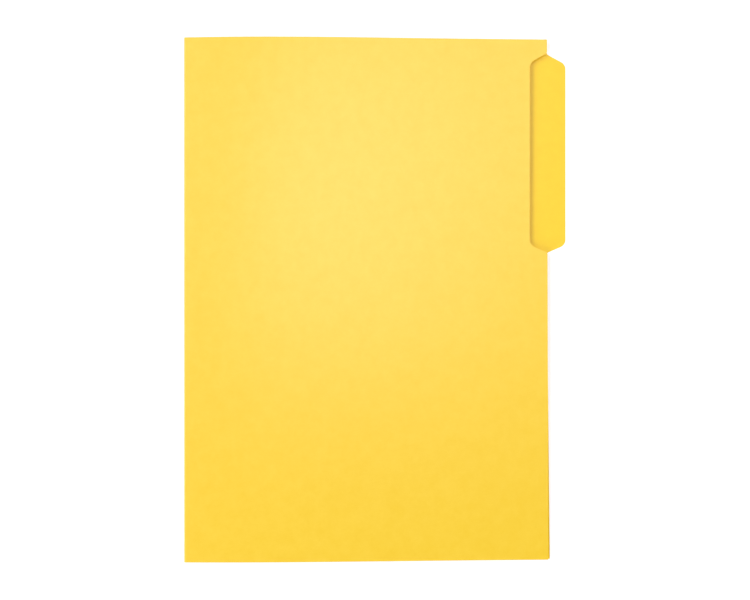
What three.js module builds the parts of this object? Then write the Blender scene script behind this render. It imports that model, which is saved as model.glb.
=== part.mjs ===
// Card file folder, closed and lying flat: one die-cut sheet of card, folded once down its long side.
// Millimetres. +X runs from the fold to the free edges, +Y along the fold towards the tab's end,
// +Z up. The origin is at the bottom centre of the box round the whole folder.
import * as THREE from 'three';

// The sheet of card
const CARD_THICKNESS = 0.3;
const LEAF_WIDTH = 240; // from the outside of the fold to the free edge
const LEAF_LENGTH = 345; // along the fold

// The index tab on the back leaf; the front leaf has the same outline cut out of its edge
const TAB_REACH = 12; // how far it stands out past the free edge
const TAB_ROOT_LENGTH = 132; // along the free edge, where its shoulders start
const TAB_SET_DOWN = 9; // from the leaf's top edge to the upper shoulder
const SHOULDER_RUN = 6; // how far each sloping shoulder runs along the edge
const TAB_CORNER_RADIUS = 5;
const TAB_ROOT_RADIUS = 2;

// The fold: narrow strips of the same sheet, with a crease line along each of their edges
const LEAF_GAP = 1.4; // clear space between the closed leaves
const CREASE_STRIPS = 3;
const STRIP_CLEARANCE = 0.02; // kept between two strips on the inside of a bend

// The colour of the dyed card, and how matt it is
const CARD_YELLOW = '#fdd649';
const CARD_ROUGHNESS = 0.62;
const CARD_METALNESS = 0;
const ARC_SEGMENTS = 6;

// Bends: the closed sheet turns by half a circle, shared out evenly among the crease lines.
const bendAngle = Math.PI / (CREASE_STRIPS + 1);
const stripAngles = Array.from({ length: CREASE_STRIPS }, (_, index) => (index + 1) * bendAngle);
const foldRise = LEAF_GAP + CARD_THICKNESS;
const stripPitch = foldRise / stripAngles.reduce((sum, angle) => sum + Math.sin(angle), 0);
const stripSetback = (CARD_THICKNESS / 2) * Math.tan(bendAngle / 2) + STRIP_CLEARANCE;

// How far the first crease line lies inside the outermost face of the fold
const lowerStrips = stripAngles.filter((angle) => Math.cos(angle) > 0);
const creaseBulge = stripPitch * lowerStrips.reduce((sum, angle) => sum + Math.cos(angle), 0);
const outermostTurn = CREASE_STRIPS % 2 === 1 ? 0 : bendAngle / 2;
const outermostFace =
  (CARD_THICKNESS / 2) * Math.cos(outermostTurn) - stripSetback * Math.sin(outermostTurn);
const foldDepth = creaseBulge + outermostFace;
const flatWidth = LEAF_WIDTH - foldDepth; // from the crease line to the free edge

// Places in the folder's own frame
const foldFace = -(LEAF_WIDTH + TAB_REACH) / 2;
const creaseLine = foldFace + foldDepth;
const leafTop = LEAF_LENGTH / 2;
const tabTop = leafTop - TAB_SET_DOWN;
const tabBottom = tabTop - TAB_ROOT_LENGTH;

// A colour of its own for each piece, so that one can be changed alone
function dyedCard(name) {
  const material = new THREE.MeshStandardMaterial({
    color: CARD_YELLOW,
    roughness: CARD_ROUGHNESS,
    metalness: CARD_METALNESS,
  });
  material.name = `${name}_card`;
  return material;
}

// Adds a corner to an outline, rounded by an arc that touches both of its sides.
function addRoundedCorner(outline, before, corner, after, radius) {
  const toBefore = before.clone().sub(corner).normalize();
  const toAfter = after.clone().sub(corner).normalize();
  const halfAngle = Math.acos(toBefore.dot(toAfter)) / 2;
  const start = corner.clone().addScaledVector(toBefore, radius / Math.tan(halfAngle));
  const end = corner.clone().addScaledVector(toAfter, radius / Math.tan(halfAngle));
  const inward = toBefore.clone().add(toAfter).normalize();
  const centre = corner.clone().addScaledVector(inward, radius / Math.sin(halfAngle));
  const turnsRight = toBefore.cross(toAfter) > 0;
  const startAngle = Math.atan2(start.y - centre.y, start.x - centre.x);
  const endAngle = Math.atan2(end.y - centre.y, end.x - centre.x);
  outline.lineTo(start.x, start.y);
  outline.absarc(centre.x, centre.y, radius, startAngle, endAngle, turnsRight);
}

// The tab's edge, drawn upwards: root, shoulder, straight outer edge, shoulder, root.
// reach is positive where it stands out of the edge at x = edge, and negative where it cuts in.
function addTabEdge(outline, edge, reach) {
  const corners = [
    new THREE.Vector2(edge, -leafTop),
    new THREE.Vector2(edge, tabBottom),
    new THREE.Vector2(edge + reach, tabBottom + SHOULDER_RUN),
    new THREE.Vector2(edge + reach, tabTop - SHOULDER_RUN),
    new THREE.Vector2(edge, tabTop),
    new THREE.Vector2(edge, leafTop),
  ];
  const radii = [TAB_ROOT_RADIUS, TAB_CORNER_RADIUS, TAB_CORNER_RADIUS, TAB_ROOT_RADIUS];
  radii.forEach((radius, index) => {
    addRoundedCorner(outline, corners[index], corners[index + 1], corners[index + 2], radius);
  });
}

// Cuts an outline out of the sheet, with the middle of the card's thickness at z = 0.
function cutFromCard(name, outline) {
  const geometry = new THREE.ExtrudeGeometry(outline, {
    depth: CARD_THICKNESS,
    bevelEnabled: false,
    curveSegments: ARC_SEGMENTS,
  });
  geometry.translate(0, 0, -CARD_THICKNESS / 2);
  const mesh = new THREE.Mesh(geometry, dyedCard(name));
  mesh.name = name;
  return mesh;
}

// The lower leaf: a plain rectangle from the first crease line to the free edge.
function backLeaf() {
  const outline = new THREE.Shape();
  outline.moveTo(stripSetback, -leafTop);
  outline.lineTo(flatWidth, -leafTop);
  outline.lineTo(flatWidth, leafTop);
  outline.lineTo(stripSetback, leafTop);
  outline.closePath();
  return cutFromCard('back_leaf', outline);
}

// The index tab, which carries on from the back leaf's free edge.
function indexTab() {
  const outline = new THREE.Shape();
  outline.moveTo(flatWidth, (tabTop + tabBottom) / 2);
  addTabEdge(outline, flatWidth, TAB_REACH);
  outline.closePath();
  return cutFromCard('index_tab', outline);
}

// The upper leaf, as it lies in the unfolded sheet: it runs towards -X from the last crease line.
function frontLeaf() {
  const outline = new THREE.Shape();
  outline.moveTo(-stripSetback, -leafTop);
  outline.lineTo(-flatWidth, -leafTop);
  addTabEdge(outline, -flatWidth, TAB_REACH);
  outline.lineTo(-flatWidth, leafTop);
  outline.lineTo(-stripSetback, leafTop);
  outline.closePath();
  return cutFromCard('front_leaf', outline);
}

// One strip of the fold, from its own crease line at x = 0 to the next one at x = -stripPitch.
function creaseStrip(number) {
  const outline = new THREE.Shape();
  outline.moveTo(-stripSetback, -leafTop);
  outline.lineTo(-stripSetback, leafTop);
  outline.lineTo(stripSetback - stripPitch, leafTop);
  outline.lineTo(stripSetback - stripPitch, -leafTop);
  outline.closePath();
  return cutFromCard(`crease_strip_${number}`, outline);
}

// A crease line: all that it holds is turned up about it by one bend.
function creaseHinge(x, z) {
  const hinge = new THREE.Group();
  hinge.position.set(x, 0, z);
  hinge.rotation.y = bendAngle;
  return hinge;
}

// The whole sheet, folded: the back leaf lies flat, and each hinge carries what comes after it.
function fileFolder() {
  const folder = new THREE.Group();
  const lowerSheet = new THREE.Group();
  lowerSheet.position.set(creaseLine, 0, CARD_THICKNESS / 2);
  lowerSheet.add(backLeaf(), indexTab());
  folder.add(lowerSheet);

  let hinge = creaseHinge(0, 0);
  lowerSheet.add(hinge);
  for (let number = 1; number <= CREASE_STRIPS; number += 1) {
    hinge.add(creaseStrip(number));
    const nextHinge = creaseHinge(-stripPitch, 0);
    hinge.add(nextHinge);
    hinge = nextHinge;
  }
  hinge.add(frontLeaf());
  return folder;
}

export default fileFolder();
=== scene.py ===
"""A yellow card file folder, closed and seen from straight above.

The folder is one die-cut sheet of card. It is modelled as three pieces that meet without a seam:
the back card with its index tab, the bent card of the fold, and the front card with the cut-out.
The studio has a white table, six softboxes, an even surround and a camera overhead.
"""

import logging
import math
from collections.abc import Callable
from dataclasses import dataclass, field
from enum import Enum

import bmesh
import bpy
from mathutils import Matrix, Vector


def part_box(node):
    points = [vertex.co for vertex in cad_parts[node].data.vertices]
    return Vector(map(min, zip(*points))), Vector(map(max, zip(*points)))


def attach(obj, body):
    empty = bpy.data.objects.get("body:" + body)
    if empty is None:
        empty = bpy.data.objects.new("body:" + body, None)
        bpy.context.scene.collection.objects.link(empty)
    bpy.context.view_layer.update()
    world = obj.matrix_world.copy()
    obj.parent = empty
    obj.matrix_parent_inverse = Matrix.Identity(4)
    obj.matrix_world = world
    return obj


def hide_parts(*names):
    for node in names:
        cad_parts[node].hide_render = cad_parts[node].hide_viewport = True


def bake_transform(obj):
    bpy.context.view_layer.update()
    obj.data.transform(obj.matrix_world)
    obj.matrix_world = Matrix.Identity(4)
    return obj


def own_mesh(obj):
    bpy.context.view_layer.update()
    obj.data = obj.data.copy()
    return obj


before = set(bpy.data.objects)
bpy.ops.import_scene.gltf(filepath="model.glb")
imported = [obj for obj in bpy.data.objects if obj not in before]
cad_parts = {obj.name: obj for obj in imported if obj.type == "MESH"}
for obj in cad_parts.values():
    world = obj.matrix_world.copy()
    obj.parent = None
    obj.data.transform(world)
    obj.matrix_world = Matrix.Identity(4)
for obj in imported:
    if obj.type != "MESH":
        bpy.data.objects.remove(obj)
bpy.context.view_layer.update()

log = logging.getLogger("file_folder")

MM = 0.001
IMAGE_WIDTH = 750
WHITE = (1.0, 1.0, 1.0, 1.0)

# How close a point has to be to a place to lie on it, or to belong to it
EXACT = 0.01 * MM
NEAR = 2 * MM

# Points closer together than this are one
SAME_POINT = 0.001 * MM

# A face whose normal has more than this along an axis faces that way
FACING = 0.5

MeshElement = bmesh.types.BMVert | bmesh.types.BMEdge | bmesh.types.BMFace


class Edge(Enum):
    """How a leaf's free edge is cut. The value is the way that the tab's outline runs from it."""

    TAB_OUT = 1
    TAB_CUT_IN = -1


class Axis(Enum):
    """The axes that a flat sheet is cut across."""

    X = 0
    Y = 1


class Element(Enum):
    """The kinds of mesh element that edit mode selects."""

    VERTEX = "VERT"
    EDGE = "EDGE"
    FACE = "FACE"


class Socket(Enum):
    """The kinds of socket that a node group has here."""

    VALUE = "NodeSocketFloat"
    VECTOR = "NodeSocketVector"


# Modelling by hand


def deselect_everything() -> None:
    """Leaves no object selected and none in edit mode."""
    if bpy.context.object and bpy.context.object.mode != "OBJECT":
        bpy.ops.object.mode_set(mode="OBJECT")
    bpy.ops.object.select_all(action="DESELECT")


def add_plane(name: str, low: Vector, high: Vector) -> bpy.types.Object:
    """Adds a flat rectangle and leaves it in edit mode.

    Args:
        name: The name of the new object.
        low: Its lowest corner.
        high: Its highest corner, at the same height.

    Returns:
        The new object, whose origin is the folder's.
    """
    deselect_everything()
    bpy.ops.mesh.primitive_plane_add(size=1.0, location=(0.0, 0.0, 0.0))
    plane = bpy.context.object
    plane.name = name
    plane.data.name = name
    bpy.ops.object.mode_set(mode="EDIT")
    bpy.ops.mesh.select_all(action="SELECT")
    bpy.ops.transform.resize(value=(high.x - low.x, high.y - low.y, 1.0))
    bpy.ops.transform.translate(value=(low + high) / 2)
    return plane


def select_in_edit_mode(
    obj: bpy.types.Object, kind: Element, chosen: Callable[[MeshElement], bool]
) -> None:
    """Selects the elements of an object in edit mode that pass a test, and nothing else.

    Args:
        obj: The object in edit mode.
        kind: The kind of element to select.
        chosen: Takes an element and says whether to select it.
    """
    bpy.ops.mesh.select_mode(type=kind.value)
    bpy.ops.mesh.select_all(action="DESELECT")
    shape = bmesh.from_edit_mesh(obj.data)
    elements = {
        Element.VERTEX: shape.verts,
        Element.EDGE: shape.edges,
        Element.FACE: shape.faces,
    }[kind]
    for element in elements:
        if chosen(element):
            element.select_set(True)
    shape.select_flush_mode()
    bmesh.update_edit_mesh(obj.data)


def cut_across(axis: Axis, places: list[float]) -> None:
    """Cuts the mesh in edit mode by planes square to one axis, and keeps both sides.

    Args:
        axis: The axis that the planes are square to.
        places: Where along the axis each cut lies.
    """
    normal = Vector((0.0, 0.0, 0.0))
    normal[axis.value] = 1.0
    for place in places:
        bpy.ops.mesh.select_all(action="SELECT")
        bpy.ops.mesh.bisect(plane_co=normal * place, plane_no=normal, threshold=SAME_POINT)


def apply_modifier(obj: bpy.types.Object, kind: str, **settings: object) -> None:
    """Adds a modifier with its settings to an object in object mode, and applies it.

    Args:
        obj: The object, which becomes the active one.
        kind: The modifier's type, such as "SOLIDIFY".
        **settings: The modifier's own properties.
    """
    bpy.context.view_layer.objects.active = obj
    modifier = obj.modifiers.new(kind.lower(), kind)
    for name, value in settings.items():
        setattr(modifier, name, value)
    bpy.ops.object.modifier_apply(modifier=modifier.name)


def evenly(low: float, high: float, count: int) -> list[float]:
    """Gives the count - 1 places that cut a length into count equal parts."""
    return [low + (high - low) * step / count for step in range(1, count)]


def add_finishes(obj: bpy.types.Object, finishes: tuple[bpy.types.Material, ...]) -> None:
    """Fills the material slots of an object.

    Args:
        obj: The object, whose earlier slots are dropped.
        finishes: Its finishes, in the order of the slots.
    """
    obj.data.materials.clear()
    for finish in finishes:
        obj.data.materials.append(finish)


# Nodes


def feed(tree: bpy.types.NodeTree, node: bpy.types.Node, inputs: dict[str | int, object]) -> None:
    """Sets or links the inputs of a node.

    Args:
        tree: The node tree that holds the node.
        node: The node.
        inputs: For each input, by name or number, its value or the socket that feeds it.
    """
    for name, value in inputs.items():
        if isinstance(value, bpy.types.NodeSocket):
            tree.links.new(value, node.inputs[name])
        else:
            node.inputs[name].default_value = value


def add_node(
    tree: bpy.types.NodeTree,
    kind: str,
    inputs: dict[str | int, object] | None = None,
    **settings: object,
) -> bpy.types.Node:
    """Adds a node to a node tree.

    Args:
        tree: The node tree.
        kind: The node's type, such as "ShaderNodeMix".
        inputs: For each input, by name or number, its value or the socket that feeds it.
        **settings: The node's own properties, which are set before its inputs.

    Returns:
        The new node.
    """
    node = tree.nodes.new(kind)
    for name, value in settings.items():
        setattr(node, name, value)
    feed(tree, node, inputs or {})
    return node


# Finishes


@dataclass(frozen=True)
class FibreGroup:
    """The make of the card, which all its faces show: clouds in the pulp, fibres and fine tooth.

    Attributes:
        name: The node group's name.
        cloud_size: How far it is from one cloud to the next.
        cloud_detail: How many finer layers the clouds have.
        cloud_roughness: How much the finer layers show.
        fibre_length: How far it is from one fibre to the next, along it.
        fibre_width: How far it is from one fibre to the next, across it.
        fibre_detail: How many finer layers the fibres have.
        fibre_waviness: How far the fibres bend.
        fibre_turns: The directions that the fibres lie in, in radians.
        fibre_from: The noise at which a fibre starts to show.
        fibre_to: The noise at which it shows in full.
        tooth_size: How far it is from one grain of the tooth to the next.
        tooth_detail: How many finer layers the tooth has.
    """

    name: str = "card_fibres"
    cloud_size: float = 7.0 * MM
    cloud_detail: float = 4.0
    cloud_roughness: float = 0.62
    fibre_length: float = 2.4 * MM
    fibre_width: float = 0.22 * MM
    fibre_detail: float = 2.0
    fibre_waviness: float = 0.6
    fibre_turns: tuple[float, ...] = (0.35, 1.25, 2.3)
    fibre_from: float = 0.45
    fibre_to: float = 0.78
    tooth_size: float = 0.16 * MM
    tooth_detail: float = 2.0

    def build(self) -> bpy.types.NodeTree:
        """Makes the shader node group.

        Returns:
            The group, with the outputs Clouds, Fibres and Height, each from 0 to 1.
        """
        group = bpy.data.node_groups.new(self.name, "ShaderNodeTree")
        panel = group.interface
        panel.new_socket("Vector", in_out="INPUT", socket_type=Socket.VECTOR.value)
        panel.new_socket("Tooth", in_out="INPUT", socket_type=Socket.VALUE.value)
        for output in ("Clouds", "Fibres", "Height"):
            panel.new_socket(output, in_out="OUTPUT", socket_type=Socket.VALUE.value)

        entry = add_node(group, "NodeGroupInput")
        place = entry.outputs["Vector"]
        clouds = add_node(
            group,
            "ShaderNodeTexNoise",
            {
                "Vector": place,
                "Scale": 1.0 / self.cloud_size,
                "Detail": self.cloud_detail,
                "Roughness": self.cloud_roughness,
            },
        )
        fibres = self.lay_fibres(group, place)
        tooth = add_node(
            group,
            "ShaderNodeTexNoise",
            {"Vector": place, "Scale": 1.0 / self.tooth_size, "Detail": self.tooth_detail},
        )
        height = add_node(
            group,
            "ShaderNodeMix",
            {"Factor": entry.outputs["Tooth"], "A": fibres, "B": tooth.outputs["Fac"]},
            data_type="FLOAT",
        )
        add_node(
            group,
            "NodeGroupOutput",
            {
                "Clouds": clouds.outputs["Fac"],
                "Fibres": fibres,
                "Height": height.outputs["Result"],
            },
        )
        return group

    def lay_fibres(
        self, group: bpy.types.NodeTree, place: bpy.types.NodeSocket
    ) -> bpy.types.NodeSocket:
        """Adds the fibres, layer over layer, each layer in its own direction.

        Args:
            group: The node group.
            place: The socket that gives the place on the card.

        Returns:
            The socket that gives how much the fibre at that place shows, from 0 to 1.
        """
        across = 1.0 / self.fibre_width
        layers = []
        for turn in self.fibre_turns:
            lay = add_node(
                group,
                "ShaderNodeMapping",
                {
                    "Vector": place,
                    "Rotation": (0.0, 0.0, turn),
                    "Scale": (1.0 / self.fibre_length, across, across),
                },
            )
            layer = add_node(
                group,
                "ShaderNodeTexNoise",
                {
                    "Vector": lay.outputs["Vector"],
                    "Scale": 1.0,
                    "Detail": self.fibre_detail,
                    "Distortion": self.fibre_waviness,
                },
            )
            layers.append(layer.outputs["Fac"])
        topmost = layers[0]
        for layer in layers[1:]:
            higher = add_node(group, "ShaderNodeMath", {0: topmost, 1: layer}, operation="MAXIMUM")
            topmost = higher.outputs["Value"]
        shown = add_node(
            group,
            "ShaderNodeMapRange",
            {"Value": topmost, "From Min": self.fibre_from, "From Max": self.fibre_to},
        )
        return shown.outputs["Result"]


@dataclass(frozen=True)
class CardFinish:
    """A finish of the dyed card.

    Attributes:
        name: The material's name.
        deep: The linear colour where the pulp is deepest in tone.
        light: The linear colour where it is lightest.
        roughness: The roughness in the hollows of the card, and on its heights.
        tooth: The share of the tooth in the relief. The rest is fibre.
        relief: How high the relief stands.
        specular: The specular level.
        fibre_tint: How far the fibres lighten the tone.
        dulling: The roughness that is added at a slant.
        dull_from: The slant, as Layer Weight's Facing, from which it is added.
        dull_at: The slant at which all of it is added.
    """

    name: str
    deep: tuple[float, float, float]
    light: tuple[float, float, float]
    roughness: tuple[float, float]
    tooth: float
    relief: float
    specular: float = 0.5
    fibre_tint: float = 0.35
    dulling: float = 0.42
    dull_from: float = 0.13
    dull_at: float = 0.60

    def build(self, fibres: bpy.types.NodeTree) -> bpy.types.Material:
        """Makes the material.

        Args:
            fibres: The node group that all the finishes share.

        Returns:
            The material, which reads Object coordinates.
        """
        material = bpy.data.materials.new(self.name)
        material.use_nodes = True
        tree = material.node_tree
        place = add_node(tree, "ShaderNodeTexCoord")
        card = add_node(
            tree,
            "ShaderNodeGroup",
            {"Vector": place.outputs["Object"], "Tooth": self.tooth},
            node_tree=fibres,
        )
        tone = add_node(
            tree,
            "ShaderNodeMath",
            {0: card.outputs["Fibres"], 1: self.fibre_tint, 2: card.outputs["Clouds"]},
            operation="MULTIPLY_ADD",
        )
        colour = add_node(
            tree,
            "ShaderNodeMix",
            {"Factor": tone.outputs["Value"], "A": (*self.deep, 1.0), "B": (*self.light, 1.0)},
            data_type="RGBA",
        )
        relief = add_node(
            tree,
            "ShaderNodeBump",
            {"Strength": 1.0, "Distance": self.relief, "Height": card.outputs["Height"]},
        )
        feed(
            tree,
            tree.nodes["Principled BSDF"],
            {
                "Base Color": colour.outputs["Result"],
                "Roughness": self.roughen(tree, card.outputs["Height"]),
                "Normal": relief.outputs["Normal"],
                "Specular IOR Level": self.specular,
            },
        )
        return material

    def roughen(
        self, tree: bpy.types.NodeTree, height: bpy.types.NodeSocket
    ) -> bpy.types.NodeSocket:
        """Adds the nodes that give the roughness, which rises with the relief and at a slant.

        Args:
            tree: The material's node tree.
            height: The socket that gives the height of the relief.

        Returns:
            The socket that gives the roughness.
        """
        low, high = self.roughness
        level = add_node(
            tree, "ShaderNodeMapRange", {"Value": height, "To Min": low, "To Max": high}
        )
        slant = add_node(tree, "ShaderNodeLayerWeight")
        dull = add_node(
            tree,
            "ShaderNodeMapRange",
            {
                "Value": slant.outputs["Facing"],
                "From Min": self.dull_from,
                "From Max": self.dull_at,
                "To Max": self.dulling,
            },
        )
        both = add_node(
            tree,
            "ShaderNodeMath",
            {0: level.outputs["Result"], 1: dull.outputs["Result"]},
            operation="ADD",
            use_clamp=True,
        )
        return both.outputs["Value"]


OUTSIDE_FINISH = CardFinish(
    name="dyed_card_outside",
    deep=(0.870, 0.548, 0.004),
    light=(0.920, 0.618, 0.034),
    roughness=(0.31, 0.42),
    tooth=0.55,
    relief=0.008 * MM,
    specular=0.92,
)
INSIDE_FINISH = CardFinish(
    name="dyed_card_inside",
    deep=(0.885, 0.553, 0.001),
    light=(0.940, 0.625, 0.009),
    roughness=(0.34, 0.46),
    tooth=0.6,
    relief=0.009 * MM,
    specular=0.62,
)
CUT_FINISH = CardFinish(
    name="dyed_card_cut_edge",
    deep=(0.84, 0.50, 0.020),
    light=(0.95, 0.68, 0.060),
    roughness=(0.75, 0.92),
    tooth=0.8,
    relief=0.03 * MM,
)
FOLD_FINISH = CardFinish(
    name="dyed_card_fold",
    deep=(0.870, 0.545, 0.008),
    light=(0.925, 0.625, 0.038),
    roughness=(0.36, 0.50),
    tooth=0.6,
    relief=0.012 * MM,
    specular=0.92,
)


# The sheet of card


@dataclass
class TabShape:
    """The outline that the index tab and its cut-out share.

    Attributes:
        reach: How far it runs from the free edge.
        root_length: How long it is along the free edge.
        set_down: How far its upper end is from the leaf's.
        upper_run: How far the upper shoulder runs along the free edge.
        lower_run: How far the lower shoulder runs along it.
        corner_radius: The radius of the two outer corners.
        root_radius: The radius of the two roots, at the free edge.
        arc_segments: How many straight pieces each arc has.
    """

    reach: float = 12.0 * MM
    root_length: float = 132.25 * MM
    set_down: float = 9.0 * MM
    upper_run: float = 6.6 * MM
    lower_run: float = 5.35 * MM
    corner_radius: float = 5.0 * MM
    root_radius: float = 2.0 * MM
    arc_segments: int = 10

    def corner_offset(self, radius: float, run: float) -> float:
        """Gives how far from a corner an arc starts.

        Args:
            radius: The radius of the arc.
            run: How far the shoulder beside it runs along the free edge.

        Returns:
            The distance along both sides of the corner.
        """
        turn = math.atan2(self.reach, run)
        return radius * math.tan(turn / 2)


@dataclass(frozen=True)
class Spring:
    """How a leaf stands up from its flat plane: a long low arch, and a lift at the free edge.

    Attributes:
        crown_at_top: How high the arch is at the leaf's upper end.
        crown_at_bottom: How high it is at the lower end.
        crown_place: Where its crown is, from the fold, 0, to the free edge, 1.
        lift_at_top: How far the free edge is lifted at the upper end.
        lift_at_bottom: How far it is lifted at the lower end.
    """

    crown_at_top: float = 3.3 * MM
    crown_at_bottom: float = 1.3 * MM
    crown_place: float = 0.3
    lift_at_top: float = 1.6 * MM
    lift_at_bottom: float = 0.3 * MM

    @property
    def highest(self) -> float:
        """A height that no point of the leaf passes."""
        crown = max(self.crown_at_top, self.crown_at_bottom)
        return crown + max(self.lift_at_top, self.lift_at_bottom)

    def height(self, across: float, along: float) -> float:
        """Gives how far a point of the leaf stands up. The lift rises in a smooth step.

        Args:
            across: Its place from the fold, 0, to the free edge, 1.
            along: Its place from the bottom end, 0, to the top end, 1.

        Returns:
            The height in metres.
        """
        crown = self.crown_at_bottom + (self.crown_at_top - self.crown_at_bottom) * along
        lift = self.lift_at_bottom + (self.lift_at_top - self.lift_at_bottom) * along
        skew = math.log(0.5) / math.log(self.crown_place)
        arch = crown * math.sin(math.pi * across**skew) ** 2
        return arch + lift * across * across * (3.0 - 2.0 * across)


@dataclass
class Leaf:
    """One leaf of the folder, cut to its outline from a flat sheet.

    Attributes:
        name: The name of its mesh object.
        nodes: The CAD nodes that it stands for.
        edge_cut: How its free edge is cut.
        low: Its lowest corner, where it meets the fold.
        high: Its highest corner, at the free edge.
        tab: The outline of its tab or cut-out.
        thickness: The thickness of the card.
        spring: How it stands up, where it does.
        out_of_square: How far the free edge leaves the square, over its length.
        square_at: Where the free edge turns, as a share of its length from the upper end.
        corner_out: How far the lower corner of the free edge stands out.
        columns: How many columns of faces it has from the fold to the free edge.
        rows: How many rows it has along the fold.
        edge_bevel: How far the sharpness of the cut edges is taken off.
        bevel_segments: How many steps that takes.
        flat_angle: The angle in degrees under which two faces are one.
        cut_angle: The angle in degrees over which an edge is a cut one.
        smooth_angle: The angle in degrees under which the shading is smooth.
        made: Its mesh object, once it is built.
    """

    name: str
    nodes: tuple[str, ...]
    edge_cut: Edge
    low: Vector
    high: Vector
    tab: TabShape
    thickness: float
    spring: Spring | None = None
    out_of_square: float = 0.0
    square_at: float = 0.45
    corner_out: float = 0.0
    columns: int = 48
    rows: int = 24
    edge_bevel: float = 0.04 * MM
    bevel_segments: int = 2
    flat_angle: float = 1.0
    cut_angle: float = 60.0
    smooth_angle: float = 15.0
    made: bpy.types.Object | None = field(default=None, init=False)

    @property
    def tab_top(self) -> float:
        """Where the tab's upper shoulder meets the free edge."""
        return self.high.y - self.tab.set_down

    @property
    def tab_bottom(self) -> float:
        """Where the tab's lower shoulder meets the free edge."""
        return self.tab_top - self.tab.root_length

    def build(self) -> None:
        """Models the leaf."""
        flat_high = Vector((self.high.x, self.high.y, self.low.z))
        self.made = add_plane(self.name, self.low, flat_high)
        if self.edge_cut is Edge.TAB_OUT:
            self.pull_out_tab()
        else:
            self.cut_in_tab()
        self.set_free_edge()
        self.round_tab()
        cut_across(Axis.X, evenly(self.low.x, self.high.x, self.columns))
        cut_across(Axis.Y, evenly(self.low.y, self.high.y, self.rows))
        bpy.ops.object.mode_set(mode="OBJECT")
        if self.spring:
            self.spring_up()
        apply_modifier(self.made, "SOLIDIFY", thickness=self.thickness, offset=1.0)
        self.soften_cut_edges()

    def pull_out_tab(self) -> None:
        """Extrudes the tab from the free edge and slopes its shoulders."""
        cut_across(Axis.Y, [self.tab_bottom, self.tab_top])
        middle = (self.tab_bottom + self.tab_top) / 2
        select_in_edit_mode(
            self.made,
            Element.EDGE,
            lambda edge: all(abs(vert.co.x - self.high.x) < EXACT for vert in edge.verts)
            and abs((edge.verts[0].co.y + edge.verts[1].co.y) / 2 - middle) < NEAR,
        )
        bpy.ops.mesh.extrude_edges_move(
            TRANSFORM_OT_translate={"value": (self.tab.reach, 0.0, 0.0)}
        )
        self.slope_shoulders(self.high.x + self.tab.reach)
        self.merge_into_one_face()

    def cut_in_tab(self) -> None:
        """Cuts the tab's outline out of the free edge."""
        inner = self.high.x - self.tab.reach
        cut_across(Axis.Y, [self.tab_bottom, self.tab_top])
        cut_across(Axis.X, [inner])
        select_in_edit_mode(
            self.made,
            Element.FACE,
            lambda face: face.calc_center_median().x > inner
            and self.tab_bottom < face.calc_center_median().y < self.tab_top,
        )
        bpy.ops.mesh.delete(type="FACE")
        self.slope_shoulders(inner)
        self.merge_into_one_face()

    def slope_shoulders(self, x: float) -> None:
        """Moves the tab's two corners at x towards its middle, which slopes its shoulders.

        Args:
            x: Where the two corners are, across the leaf.
        """
        for start, run in (
            (self.tab_bottom, self.tab.lower_run),
            (self.tab_top, -self.tab.upper_run),
        ):
            select_in_edit_mode(
                self.made,
                Element.VERTEX,
                lambda vert: abs(vert.co.x - x) < EXACT and abs(vert.co.y - start) < EXACT,
            )
            bpy.ops.transform.translate(value=(0.0, run, 0.0))

    def merge_into_one_face(self) -> None:
        """Dissolves the lines inside the flat outline."""
        bpy.ops.mesh.select_mode(type=Element.VERTEX.value)
        bpy.ops.mesh.select_all(action="SELECT")
        bpy.ops.mesh.dissolve_limited(angle_limit=math.radians(self.flat_angle))

    def set_free_edge(self) -> None:
        """Turns the free edge a little and pulls its lower corner out, as hand folding does."""
        length = self.high.y - self.low.y
        select_in_edit_mode(
            self.made, Element.VERTEX, lambda vert: vert.co.x > self.high.x - EXACT
        )
        bpy.ops.transform.rotate(
            value=-math.atan2(self.out_of_square, length),
            orient_axis="Z",
            center_override=(self.high.x, self.high.y - self.square_at * length, 0.0),
        )
        select_in_edit_mode(
            self.made,
            Element.VERTEX,
            lambda vert: vert.co.x > self.high.x - NEAR and vert.co.y < self.low.y + NEAR,
        )
        bpy.ops.transform.translate(value=(self.corner_out, 0.0, 0.0))

    def round_tab(self) -> None:
        """Rounds the tab's outer corners and its roots."""
        tip = self.high.x + self.edge_cut.value * self.tab.reach
        lower, upper = self.tab.lower_run, self.tab.upper_run
        corners = (
            (self.high.x, self.tab_bottom, self.tab.root_radius, lower),
            (self.high.x, self.tab_top, self.tab.root_radius, upper),
            (tip, self.tab_bottom + lower, self.tab.corner_radius, lower),
            (tip, self.tab_top - upper, self.tab.corner_radius, upper),
        )
        for x, y, radius, run in corners:
            select_in_edit_mode(
                self.made,
                Element.VERTEX,
                lambda vert: abs(vert.co.x - x) < NEAR and abs(vert.co.y - y) < NEAR,
            )
            bpy.ops.mesh.bevel(
                offset=self.tab.corner_offset(radius, run),
                segments=self.tab.arc_segments,
                affect="VERTICES",
                clamp_overlap=False,
            )

    def spring_up(self) -> None:
        """Raises the leaf above its own flat plane, as far as the card's spring takes it."""
        weights = self.made.vertex_groups.new(name="spring")
        width = self.high.x - self.low.x
        length = self.high.y - self.low.y
        for vert in self.made.data.vertices:
            across = min(max((vert.co.x - self.low.x) / width, 0.0), 1.0)
            along = min(max((vert.co.y - self.low.y) / length, 0.0), 1.0)
            share = self.spring.height(across, along) / self.spring.highest
            weights.add([vert.index], share, "REPLACE")
        apply_modifier(
            self.made,
            "DISPLACE",
            direction="Z",
            mid_level=0.0,
            strength=self.spring.highest,
            vertex_group=weights.name,
        )
        self.made.vertex_groups.clear()

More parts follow.
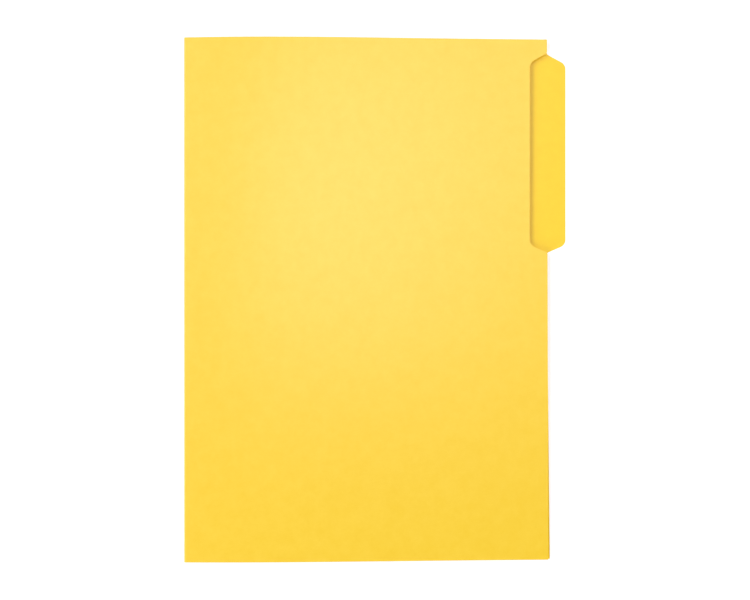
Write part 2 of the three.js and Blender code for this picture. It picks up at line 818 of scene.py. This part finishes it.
    def soften_cut_edges(self) -> None:
        """Takes the sharpness off the cut edges, but not where the leaf runs on into the fold."""
        deselect_everything()
        self.made.select_set(True)
        bpy.context.view_layer.objects.active = self.made
        bpy.ops.object.mode_set(mode="EDIT")
        select_in_edit_mode(self.made, Element.EDGE, self.is_cut_edge)
        bpy.ops.mesh.bevel(
            offset=self.edge_bevel, segments=self.bevel_segments, affect="EDGES"
        )
        bpy.ops.mesh.select_all(action="SELECT")
        bpy.ops.mesh.normals_make_consistent(inside=False)
        bpy.ops.object.mode_set(mode="OBJECT")
        bpy.ops.object.shade_smooth_by_angle(angle=math.radians(self.smooth_angle))

    def is_cut_edge(self, edge: bmesh.types.BMEdge) -> bool:
        """Tells whether an edge of the thick sheet runs along its cut outline.

        Args:
            edge: The edge.

        Returns:
            True where it does, other than at the fold.
        """
        if len(edge.link_faces) != 2:
            return False
        at_fold = all(vert.co.x - self.low.x < EXACT for vert in edge.verts)
        level = abs(edge.verts[0].co.z - edge.verts[1].co.z) < self.thickness / 2
        sharp = edge.calc_face_angle() > math.radians(self.cut_angle)
        return level and sharp and not at_fold

    def dress(
        self,
        upper: bpy.types.Material,
        under: bpy.types.Material,
        cut: bpy.types.Material,
    ) -> None:
        """Gives each face of the leaf its finish.

        Args:
            upper: The finish of the side that faces up.
            under: The finish of the side that faces down.
            cut: The finish of the cut edges.
        """
        finishes = (upper, under, cut)
        add_finishes(self.made, finishes)
        for face in self.made.data.polygons:
            if abs(face.normal.z) < FACING:
                finish = cut
            else:
                finish = under if face.normal.z < 0.0 else upper
            face.material_index = finishes.index(finish)


@dataclass
class Fold:
    """The bent card between the two leaves: a half turn with a short flat run at each end.

    Attributes:
        name: The name of its mesh object.
        lower: Where the bend starts, half-way through the back leaf's card.
        upper: Where it ends, half-way through the front leaf's card.
        length: How long the fold is.
        overlap: How long the flat run at each end is.
        thickness: The thickness of the card.
        segments: How many straight pieces the bend has.
        smooth_angle: The angle in degrees under which the shading is smooth.
        made: Its mesh object, once it is built.
    """

    name: str
    lower: Vector
    upper: Vector
    length: float
    overlap: float
    thickness: float
    segments: int = 24
    smooth_angle: float = 30.0
    made: bpy.types.Object | None = field(default=None, init=False)

    @property
    def centre(self) -> Vector:
        """The middle of the bend, which the card turns round."""
        return (self.lower + self.upper) / 2

    def build(self) -> None:
        """Models the fold: a strip of the card's section, pushed to the bend and spun round it."""
        half = self.thickness / 2
        low = Vector((-half, -self.length / 2, 0.0))
        high = Vector((half, self.length / 2, 0.0))
        self.made = add_plane(self.name, low, high)
        bpy.ops.transform.rotate(
            value=math.pi / 2, orient_axis="Y", center_override=(0.0, 0.0, 0.0)
        )
        bpy.ops.transform.translate(value=self.lower + Vector((self.overlap, 0.0, 0.0)))
        bpy.ops.mesh.extrude_region_move(
            TRANSFORM_OT_translate={"value": (-self.overlap, 0.0, 0.0)}
        )
        bpy.ops.mesh.spin(
            steps=self.segments, angle=math.pi, center=self.centre, axis=(0.0, -1.0, 0.0)
        )
        bpy.ops.mesh.extrude_region_move(
            TRANSFORM_OT_translate={"value": (self.overlap, 0.0, 0.0)}
        )
        bpy.ops.mesh.select_all(action="SELECT")
        bpy.ops.mesh.remove_doubles(threshold=SAME_POINT)
        bpy.ops.mesh.normals_make_consistent(inside=False)
        bpy.ops.object.mode_set(mode="OBJECT")
        bpy.ops.object.shade_smooth_by_angle(angle=math.radians(self.smooth_angle))

    def dress(
        self,
        outer: bpy.types.Material,
        inner: bpy.types.Material,
        cut: bpy.types.Material,
    ) -> None:
        """Gives each face of the fold its finish.

        Args:
            outer: The finish of the bend's outer side.
            inner: The finish of its inner side.
            cut: The finish of its two cut ends.
        """
        finishes = (outer, inner, cut)
        add_finishes(self.made, finishes)
        for face in self.made.data.polygons:
            if abs(face.normal.y) > FACING:
                finish = cut
            else:
                inwards = (face.center - self.centre).dot(face.normal) < 0.0
                finish = inner if inwards else outer
            face.material_index = finishes.index(finish)


@dataclass
class Folder:
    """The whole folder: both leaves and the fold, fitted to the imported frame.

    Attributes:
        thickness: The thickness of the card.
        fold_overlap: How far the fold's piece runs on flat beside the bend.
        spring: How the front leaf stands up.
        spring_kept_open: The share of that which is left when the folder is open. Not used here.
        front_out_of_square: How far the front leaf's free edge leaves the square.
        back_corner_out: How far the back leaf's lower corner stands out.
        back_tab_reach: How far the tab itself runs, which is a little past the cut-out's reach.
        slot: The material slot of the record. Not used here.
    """

    thickness: float = 0.3 * MM
    fold_overlap: float = 0.6 * MM
    spring: Spring = field(default_factory=Spring)
    spring_kept_open: float = 0.06
    front_out_of_square: float = 1.2 * MM
    back_corner_out: float = 2.05 * MM
    back_tab_reach: float = 12.5 * MM
    slot: str = "dyed_card"

    def build(self) -> list[bpy.types.Object]:
        """Models, dresses and fixes all the pieces.

        Returns:
            The pieces, from the bottom up.
        """
        fibres = FibreGroup().build()
        outside = OUTSIDE_FINISH.build(fibres)
        inside = INSIDE_FINISH.build(fibres)
        cut = CUT_FINISH.build(fibres)
        bent = FOLD_FINISH.build(fibres)

        back_low, back_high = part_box("back_leaf")
        front_low, front_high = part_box("front_leaf")
        outer_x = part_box("crease_strip_2")[0].x
        radius = (front_high.z - back_low.z) / 2
        bend_x = outer_x + radius
        seam_x = bend_x + self.fold_overlap

        back = Leaf(
            name="back_card",
            nodes=("back_leaf", "index_tab"),
            edge_cut=Edge.TAB_OUT,
            low=Vector((seam_x, back_low.y, back_low.z)),
            high=back_high,
            tab=TabShape(reach=self.back_tab_reach),
            thickness=self.thickness,
            corner_out=self.back_corner_out,
        )
        front = Leaf(
            name="front_card",
            nodes=("front_leaf",),
            edge_cut=Edge.TAB_CUT_IN,
            low=Vector((seam_x, front_low.y, front_low.z)),
            high=front_high,
            tab=TabShape(),
            thickness=self.thickness,
            spring=self.spring,
            out_of_square=self.front_out_of_square,
        )
        fold = Fold(
            name="fold_card",
            lower=Vector((bend_x, 0.0, back_low.z + self.thickness / 2)),
            upper=Vector((bend_x, 0.0, front_high.z - self.thickness / 2)),
            length=back_high.y - back_low.y,
            overlap=self.fold_overlap,
            thickness=self.thickness,
        )
        for leaf, upper, under in ((back, inside, outside), (front, outside, inside)):
            leaf.build()
            leaf.dress(upper, under, cut)
            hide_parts(*leaf.nodes)
        fold.build()
        fold.dress(bent, inside, cut)
        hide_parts("crease_strip_1", "crease_strip_2", "crease_strip_3")

        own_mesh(front.made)
        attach(back.made, "back")
        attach(front.made, "front")
        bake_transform(fold.made)
        pieces = [back.made, fold.made, front.made]
        return pieces


# The studio


@dataclass
class Floor:
    """The white table under the folder. It glows to the camera alone, and keeps the shadow.

    Attributes:
        size: The length of its sides.
        paper_white: The linear grey of its surface.
        roughness: The roughness of its surface.
        specular: Its specular level.
        glow_near: The glow beside the folder.
        glow_far: The glow further out, which is the surround's own white.
        near: The distance from the folder's middle at which the glow starts to rise.
        far: The distance at which it has risen.
    """

    size: float = 12.0
    paper_white: float = 0.8
    roughness: float = 0.9
    specular: float = 0.1
    glow_near: float = 0.35
    glow_far: float = 1.0
    near: float = 0.35
    far: float = 1.1

    def build(self) -> None:
        """Lays the table."""
        half = self.size / 2
        floor = add_plane("table", Vector((-half, -half, 0.0)), Vector((half, half, 0.0)))
        bpy.ops.object.mode_set(mode="OBJECT")
        add_finishes(floor, (self.make_finish(),))

    def make_finish(self) -> bpy.types.Material:
        """Makes the table's finish.

        Returns:
            The material.
        """
        material = bpy.data.materials.new("white_table")
        material.use_nodes = True
        tree = material.node_tree
        place = add_node(tree, "ShaderNodeTexCoord")
        distance = add_node(
            tree, "ShaderNodeVectorMath", {0: place.outputs["Object"]}, operation="LENGTH"
        )
        glow = add_node(
            tree,
            "ShaderNodeMapRange",
            {
                "Value": distance.outputs["Value"],
                "From Min": self.near,
                "From Max": self.far,
                "To Min": self.glow_near,
                "To Max": self.glow_far,
            },
        )
        path = add_node(tree, "ShaderNodeLightPath")
        seen = add_node(
            tree,
            "ShaderNodeMath",
            {0: path.outputs["Is Camera Ray"], 1: glow.outputs["Result"]},
            operation="MULTIPLY",
        )
        feed(
            tree,
            tree.nodes["Principled BSDF"],
            {
                "Base Color": (*[self.paper_white] * 3, 1.0),
                "Roughness": self.roughness,
                "Specular IOR Level": self.specular,
                "Emission Color": WHITE,
                "Emission Strength": seen.outputs["Value"],
            },
        )
        return material


@dataclass(frozen=True)
class Softbox:
    """One square studio lamp, aimed at the middle of the folder.

    Attributes:
        name: The lamp's name.
        azimuth: Its direction round the folder in degrees, from +X towards +Y.
        elevation: Its height above the table in degrees.
        power: Its power in watts.
        distance: How far it hangs from the folder's middle.
        side: The length of its sides.
    """

    name: str
    azimuth: float
    elevation: float
    power: float
    distance: float = 2.5
    side: float = 1.2

    def build(self) -> None:
        """Hangs the lamp."""
        turn = math.radians(self.azimuth)
        rise = math.radians(self.elevation)
        level = math.cos(rise)
        direction = Vector((level * math.cos(turn), level * math.sin(turn), math.sin(rise)))
        lamp = bpy.data.lights.new(self.name, "AREA")
        lamp.shape = "SQUARE"
        lamp.size = self.side
        lamp.energy = self.power
        held = bpy.data.objects.new(self.name, lamp)
        held.location = direction * self.distance
        held.rotation_euler = direction.to_track_quat("Z", "Y").to_euler()
        bpy.context.scene.collection.objects.link(held)


@dataclass
class Studio:
    """The light that the folder is photographed in, with its camera.

    Attributes:
        softboxes: The lamps.
        sky: How strongly the white surround lights the folder.
        camera_place: Where the camera hangs.
        camera_turn: The camera's rotation in degrees, from looking straight down.
        focal_pixels: Its focal length in pixels of the image.
        sensor: The width of its sensor in millimetres.
    """

    softboxes: tuple[Softbox, ...] = (
        Softbox("right_softbox", azimuth=0.0, elevation=28.0, power=35.0),
        Softbox("low_left_softbox", azimuth=225.0, elevation=28.0, power=25.2),
        Softbox("upper_left_softbox", azimuth=150.0, elevation=41.0, power=18.0),
        Softbox("left_softbox", azimuth=180.0, elevation=42.0, power=14.3),
        Softbox("upper_right_softbox", azimuth=60.0, elevation=56.0, power=5.8),
        Softbox("overhead_softbox", azimuth=90.0, elevation=82.0, power=14.2),
    )
    sky: float = 0.11
    camera_place: tuple[float, float, float] = (-0.01708, 0.0003, 0.6)
    camera_turn: tuple[float, float, float] = (-0.033, -1.589, -0.005)
    focal_pixels: float = 905.4
    sensor: float = 36.0

    def build(self) -> None:
        """Sets up the table, the lamps, the surround and the camera."""
        Floor().build()
        for softbox in self.softboxes:
            softbox.build()
            log.info("%s: %.1f W", softbox.name, softbox.power)
        self.build_surround()
        self.build_camera()

    def build_surround(self) -> None:
        """Makes the even surround, which the camera sees as plain white."""
        world = bpy.data.worlds.new("studio_surround")
        world.use_nodes = True
        tree = world.node_tree
        path = add_node(tree, "ShaderNodeLightPath")
        strength = add_node(
            tree,
            "ShaderNodeMix",
            {"Factor": path.outputs["Is Camera Ray"], "A": self.sky, "B": 1.0},
            data_type="FLOAT",
        )
        feed(
            tree,
            tree.nodes["Background"],
            {"Color": WHITE, "Strength": strength.outputs["Result"]},
        )
        bpy.context.scene.world = world

    def build_camera(self) -> None:
        """Hangs the camera over the folder."""
        lens = bpy.data.cameras.new("overhead_camera")
        lens.sensor_width = self.sensor
        lens.lens = self.focal_pixels / IMAGE_WIDTH * self.sensor
        camera = bpy.data.objects.new("overhead_camera", lens)
        camera.location = self.camera_place
        camera.rotation_euler = [math.radians(turn) for turn in self.camera_turn]
        bpy.context.scene.collection.objects.link(camera)
        bpy.context.scene.camera = camera


def main() -> None:
    """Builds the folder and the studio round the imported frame."""
    logging.basicConfig(level=logging.INFO, format="%(name)s: %(message)s")
    Studio().build()
    for piece in Folder().build():
        log.info("%s: %d faces", piece.name, len(piece.data.polygons))
    bpy.context.scene.view_settings.view_transform = "Standard"
    deselect_everything()


if __name__ == "__main__":
    main()
